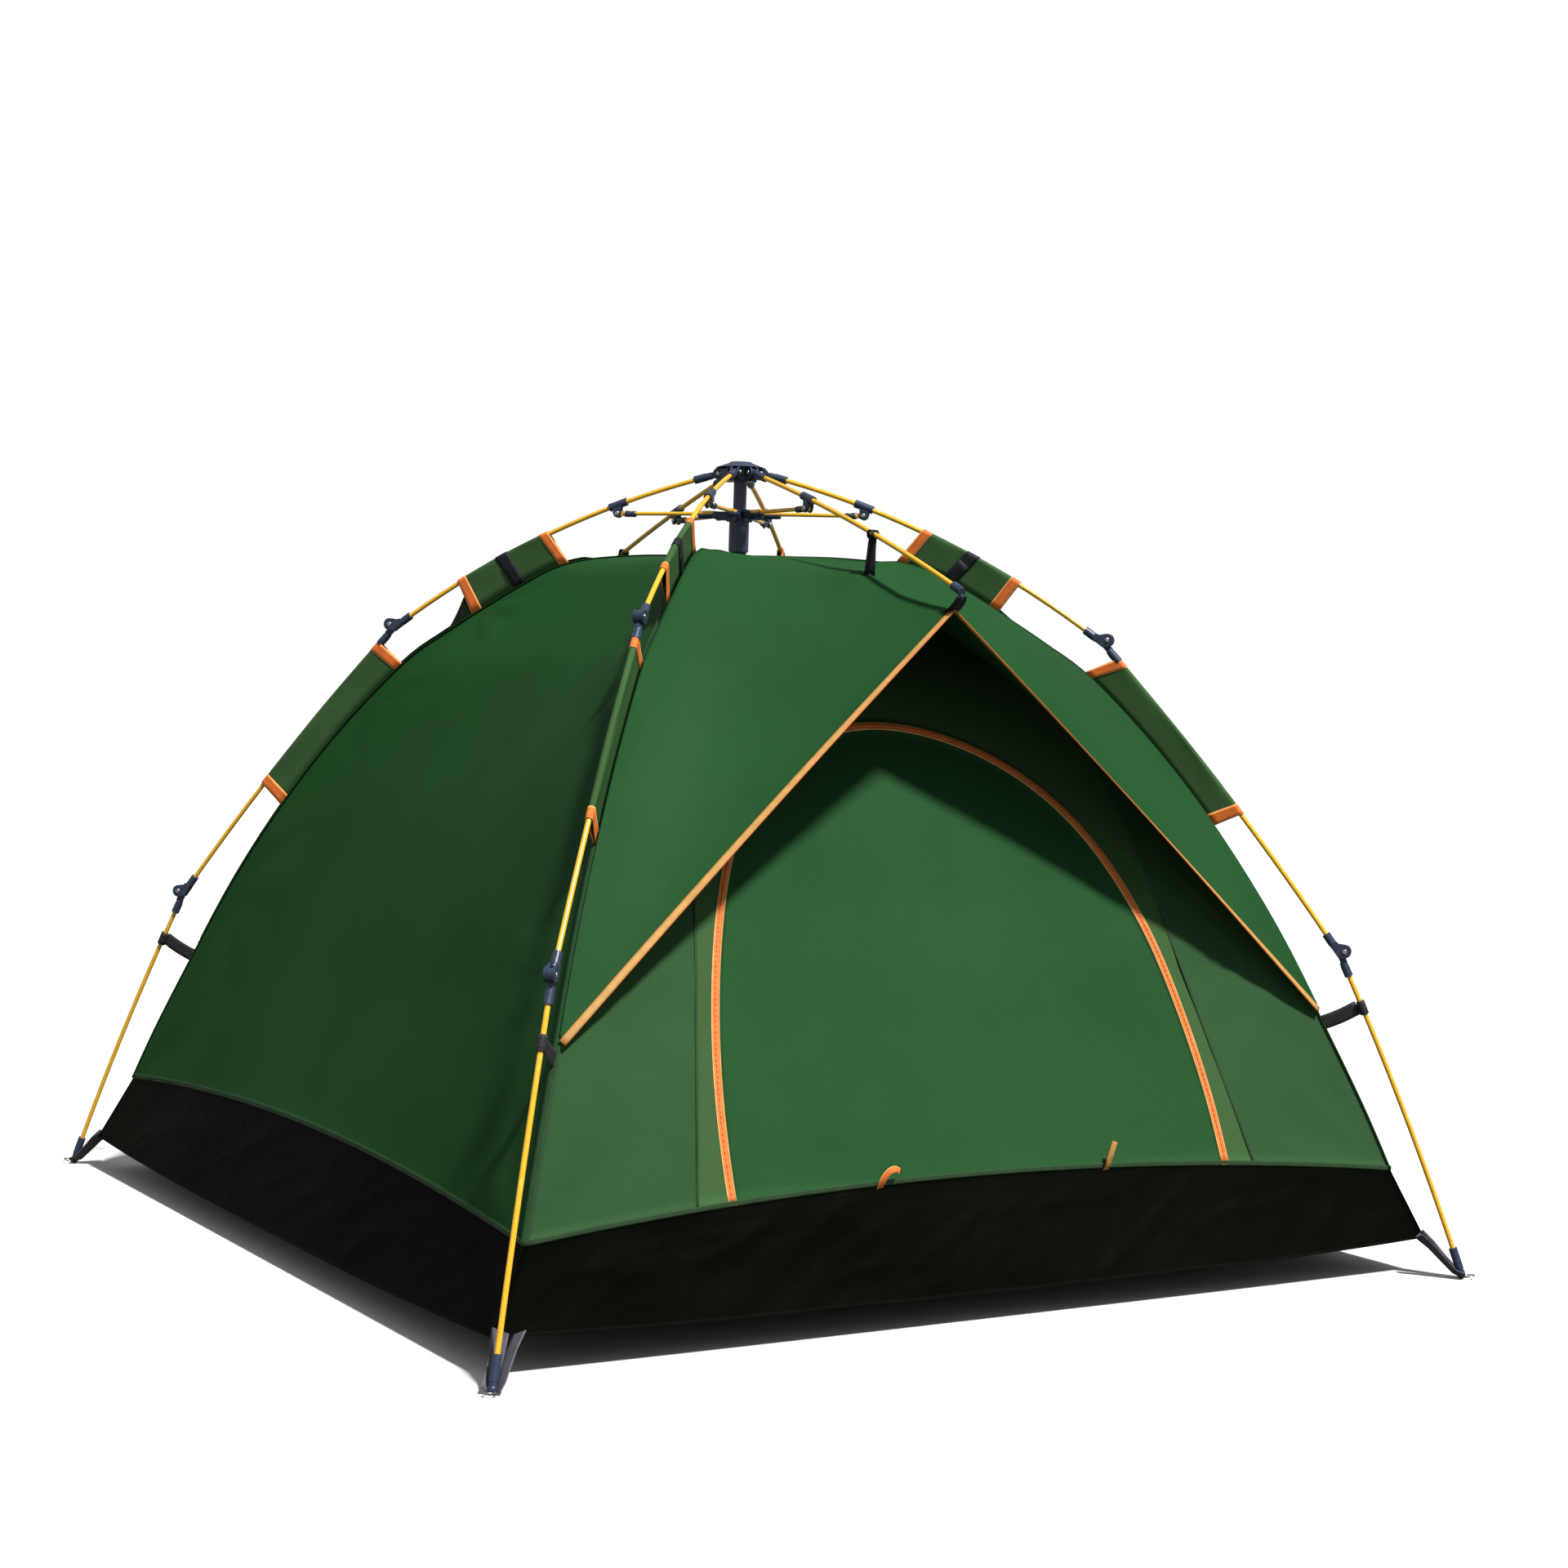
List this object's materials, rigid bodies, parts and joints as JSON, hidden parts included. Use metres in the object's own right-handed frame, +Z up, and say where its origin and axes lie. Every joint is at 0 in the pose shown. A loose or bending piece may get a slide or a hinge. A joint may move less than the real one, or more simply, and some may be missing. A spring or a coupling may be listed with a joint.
{
  "type": "pop-up dome tent",
  "caption": "Self-erecting square dome tent: green canopy and black tub hung under a folding pole frame with an umbrella hub, and a zipped arched door under an awning.",
  "frame": {"origin": "on the ground under the hub", "axes": "+Z up, the door faces -Y, and +X is on the right of a person who stands outside and looks at the door"},
  "size_m": [2.076, 2.156, 1.56],
  "materials": {
    "yellow_pole": "glossy wrapped fibreglass",
    "strut_rod": "glossy wrapped fibreglass with black ends",
    "navy_plastic": "moulded, satin",
    "black_tube": "satin",
    "inner_tube": "drawn",
    "steel": "satin",
    "black_fabric": "coated polyester",
    "green_canopy": "coated polyester, plain weave",
    "awning_fabric": "coated polyester, plain weave",
    "sleeve_fabric": "coated polyester, plain weave",
    "black_webbing": "woven webbing",
    "orange_tape": "woven binding tape"
  },
  "bodies": {
    "fabric": {"groundsheet": "black_fabric", "tub_walls": "black_fabric", "canopy_left": "green_canopy", "canopy_right": "green_canopy", "canopy_back": "green_canopy", "canopy_front": "green_canopy", "door_panel": "green_canopy", "door_zip": "orange_tape", "front_awning": "awning_fabric", "rear_awning": "awning_fabric", "pole_sleeves": "sleeve_fabric", "leg_straps": "black_webbing", "awning_straps": "black_webbing", "mast_hanger": "orange_tape", "door_toggles": "orange_tape"},
    "hub": {"hub_body": "navy_plastic", "hub_cap": "navy_plastic", "hub_pins": "steel", "mast_upper_tube": "black_tube", "mast_spring": "steel"},
    "second_stage": {"mast_second_tube": "inner_tube"},
    "third_stage": {"mast_third_tube": "inner_tube"},
    "runner_unit": {"runner": "navy_plastic", "mast_outer_tube": "black_tube", "mast_inner_tube": "inner_tube", "mast_foot": "black_tube"},
    "front_left_arm": {"front_left_arm_pole": "yellow_pole", "front_left_arm_fittings": "navy_plastic"},
    "front_left_strut": {"front_left_strut": "strut_rod"},
    "front_left_mid": {"front_left_mid_pole": "yellow_pole", "front_left_mid_fittings": "navy_plastic"},
    "front_left_lower": {"front_left_lower_pole": "yellow_pole", "front_left_foot_fittings": "navy_plastic"},
    "back_left_arm": {"back_left_arm_pole": "yellow_pole", "back_left_arm_fittings": "navy_plastic"},
    "back_left_strut": {"back_left_strut": "strut_rod"},
    "back_left_mid": {"back_left_mid_pole": "yellow_pole", "back_left_mid_fittings": "navy_plastic"},
    "back_left_lower": {"back_left_lower_pole": "yellow_pole", "back_left_foot_fittings": "navy_plastic"},
    "back_right_arm": {"back_right_arm_pole": "yellow_pole", "back_right_arm_fittings": "navy_plastic"},
    "back_right_strut": {"back_right_strut": "strut_rod"},
    "back_right_mid": {"back_right_mid_pole": "yellow_pole", "back_right_mid_fittings": "navy_plastic"},
    "back_right_lower": {"back_right_lower_pole": "yellow_pole", "back_right_foot_fittings": "navy_plastic"},
    "front_right_arm": {"front_right_arm_pole": "yellow_pole", "front_right_arm_fittings": "navy_plastic"},
    "front_right_strut": {"front_right_strut": "strut_rod"},
    "front_right_mid": {"front_right_mid_pole": "yellow_pole", "front_right_mid_fittings": "navy_plastic"},
    "front_right_lower": {"front_right_lower_pole": "yellow_pole", "front_right_foot_fittings": "navy_plastic"},
    "front_awning_arm": {"front_awning_pole": "yellow_pole", "front_awning_fittings": "navy_plastic"},
    "front_awning_strut": {"front_awning_strut": "strut_rod"},
    "rear_awning_arm": {"rear_awning_pole": "yellow_pole", "rear_awning_fittings": "navy_plastic"},
    "rear_awning_strut": {"rear_awning_strut": "strut_rod"}
  },
  "joints": [
    {"name": "hub_drop", "type": "slide", "parent": "fabric", "child": "hub", "axis": [0, 0, -1], "range_m": [0, 0.645], "deforming": ["canopy_left", "canopy_right", "canopy_back", "canopy_front", "door_panel", "door_zip", "front_awning", "rear_awning", "pole_sleeves", "leg_straps", "awning_straps", "mast_hanger", "door_toggles", "tub_walls"]},
    {"name": "second_stage_slide", "type": "slide", "parent": "hub", "child": "second_stage", "axis": [0, 0, -1], "range_m": [0, 0.11991]},
    {"name": "third_stage_slide", "type": "slide", "parent": "hub", "child": "third_stage", "axis": [0, 0, -1], "range_m": [0, 0.23933]},
    {"name": "runner_slide", "type": "slide", "parent": "hub", "child": "runner_unit", "axis": [0, 0, -1], "range_m": [0, 0.35874], "deforming": ["mast_spring"]},
    {"name": "front_left_arm_hinge", "type": "hinge", "parent": "hub", "child": "front_left_arm", "pos_m": [-0.03121, -0.03242, 1.536], "axis": [-0.7204, 0.6935, 0], "range_deg": [-62.75, 0]},
    {"name": "front_left_strut_hinge", "type": "hinge", "parent": "front_left_arm", "child": "front_left_strut", "pos_m": [-0.1817, -0.18876, 1.452], "axis": [-0.7204, 0.6935, 0], "range_deg": [0, 146.35]},
    {"name": "front_left_upper_elbow", "type": "hinge", "parent": "front_left_arm", "child": "front_left_mid", "pos_m": [-0.5301, -0.55068, 1.21117], "axis": [-0.7204, 0.6935, 0], "range_deg": [0, 178.05]},
    {"name": "front_left_lower_elbow", "type": "hinge", "parent": "front_left_mid", "child": "front_left_lower", "pos_m": [-0.86307, -0.89659, 0.61755], "axis": [-0.735, 0.677, -0.0377], "range_deg": [0, 187.05]},
    {"name": "back_left_arm_hinge", "type": "hinge", "parent": "hub", "child": "back_left_arm", "pos_m": [-0.03121, 0.03242, 1.536], "axis": [0.7204, 0.6935, 0], "range_deg": [-62.75, 0]},
    {"name": "back_left_strut_hinge", "type": "hinge", "parent": "back_left_arm", "child": "back_left_strut", "pos_m": [-0.1817, 0.18876, 1.452], "axis": [0.7204, 0.6935, 0], "range_deg": [0, 146.35]},
    {"name": "back_left_upper_elbow", "type": "hinge", "parent": "back_left_arm", "child": "back_left_mid", "pos_m": [-0.5301, 0.55068, 1.21117], "axis": [0.7204, 0.6935, 0], "range_deg": [0, 178.05]},
    {"name": "back_left_lower_elbow", "type": "hinge", "parent": "back_left_mid", "child": "back_left_lower", "pos_m": [-0.86307, 0.89659, 0.61755], "axis": [0.7045, 0.7087, -0.0377], "range_deg": [0, 187.05]},
    {"name": "back_right_arm_hinge", "type": "hinge", "parent": "hub", "child": "back_right_arm", "pos_m": [0.03121, 0.03242, 1.536], "axis": [0.7204, -0.6935, 0], "range_deg": [-62.75, 0]},
    {"name": "back_right_strut_hinge", "type": "hinge", "parent": "back_right_arm", "child": "back_right_strut", "pos_m": [0.1817, 0.18876, 1.452], "axis": [0.7204, -0.6935, 0], "range_deg": [0, 146.35]},
    {"name": "back_right_upper_elbow", "type": "hinge", "parent": "back_right_arm", "child": "back_right_mid", "pos_m": [0.5301, 0.55068, 1.21117], "axis": [0.7204, -0.6935, 0], "range_deg": [0, 178.05]},
    {"name": "back_right_lower_elbow", "type": "hinge", "parent": "back_right_mid", "child": "back_right_lower", "pos_m": [0.86307, 0.89659, 0.61755], "axis": [0.735, -0.677, -0.0377], "range_deg": [0, 187.05]},
    {"name": "front_right_arm_hinge", "type": "hinge", "parent": "hub", "child": "front_right_arm", "pos_m": [0.03121, -0.03242, 1.536], "axis": [-0.7204, -0.6935, 0], "range_deg": [-62.75, 0]},
    {"name": "front_right_strut_hinge", "type": "hinge", "parent": "front_right_arm", "child": "front_right_strut", "pos_m": [0.1817, -0.18876, 1.452], "axis": [-0.7204, -0.6935, 0], "range_deg": [0, 146.35]},
    {"name": "front_right_upper_elbow", "type": "hinge", "parent": "front_right_arm", "child": "front_right_mid", "pos_m": [0.5301, -0.55068, 1.21117], "axis": [-0.7204, -0.6935, 0], "range_deg": [0, 178.05]},
    {"name": "front_right_lower_elbow", "type": "hinge", "parent": "front_right_mid", "child": "front_right_lower", "pos_m": [0.86307, -0.89659, 0.61755], "axis": [-0.7045, -0.7087, -0.0377], "range_deg": [0, 187.05]},
    {"name": "front_awning_arm_hinge", "type": "hinge", "parent": "hub", "child": "front_awning_arm", "pos_m": [0, -0.045, 1.536], "axis": [-1, 0, 0], "range_deg": [-62.75, 0]},
    {"name": "front_awning_strut_hinge", "type": "hinge", "parent": "front_awning_arm", "child": "front_awning_strut", "pos_m": [0, -0.262, 1.452], "axis": [-1, 0, 0], "range_deg": [0, 146.35]},
    {"name": "rear_awning_arm_hinge", "type": "hinge", "parent": "hub", "child": "rear_awning_arm", "pos_m": [0, 0.045, 1.536], "axis": [1, 0, 0], "range_deg": [-62.75, 0]},
    {"name": "rear_awning_strut_hinge", "type": "hinge", "parent": "rear_awning_arm", "child": "rear_awning_strut", "pos_m": [0, 0.262, 1.452], "axis": [1, 0, 0], "range_deg": [0, 146.35]}
  ],
  "couplings": [
    {"joint": "second_stage_slide", "follows": "hub_drop", "ratio": 0.18514},
    {"joint": "third_stage_slide", "follows": "hub_drop", "ratio": 0.37028},
    {"joint": "runner_slide", "follows": "hub_drop", "ratio": 0.55542},
    {"joint": "front_left_arm_hinge", "follows": "hub_drop", "rad_per_m": -1.6966},
    {"joint": "front_left_strut_hinge", "follows": "hub_drop", "rad_per_m": 3.9587},
    {"joint": "front_left_upper_elbow", "follows": "hub_drop", "rad_per_m": 4.8166},
    {"joint": "front_left_lower_elbow", "follows": "hub_drop", "rad_per_m": 5.0601},
    {"joint": "back_left_arm_hinge", "follows": "hub_drop", "rad_per_m": -1.6966},
    {"joint": "back_left_strut_hinge", "follows": "hub_drop", "rad_per_m": 3.9587},
    {"joint": "back_left_upper_elbow", "follows": "hub_drop", "rad_per_m": 4.8166},
    {"joint": "back_left_lower_elbow", "follows": "hub_drop", "rad_per_m": 5.0601},
    {"joint": "back_right_arm_hinge", "follows": "hub_drop", "rad_per_m": -1.6966},
    {"joint": "back_right_strut_hinge", "follows": "hub_drop", "rad_per_m": 3.9587},
    {"joint": "back_right_upper_elbow", "follows": "hub_drop", "rad_per_m": 4.8166},
    {"joint": "back_right_lower_elbow", "follows": "hub_drop", "rad_per_m": 5.0601},
    {"joint": "front_right_arm_hinge", "follows": "hub_drop", "rad_per_m": -1.6966},
    {"joint": "front_right_strut_hinge", "follows": "hub_drop", "rad_per_m": 3.9587},
    {"joint": "front_right_upper_elbow", "follows": "hub_drop", "rad_per_m": 4.8166},
    {"joint": "front_right_lower_elbow", "follows": "hub_drop", "rad_per_m": 5.0601},
    {"joint": "front_awning_arm_hinge", "follows": "hub_drop", "rad_per_m": -1.6966},
    {"joint": "front_awning_strut_hinge", "follows": "hub_drop", "rad_per_m": 3.9587},
    {"joint": "rear_awning_arm_hinge", "follows": "hub_drop", "rad_per_m": -1.6966},
    {"joint": "rear_awning_strut_hinge", "follows": "hub_drop", "rad_per_m": 3.9587}
  ]
}
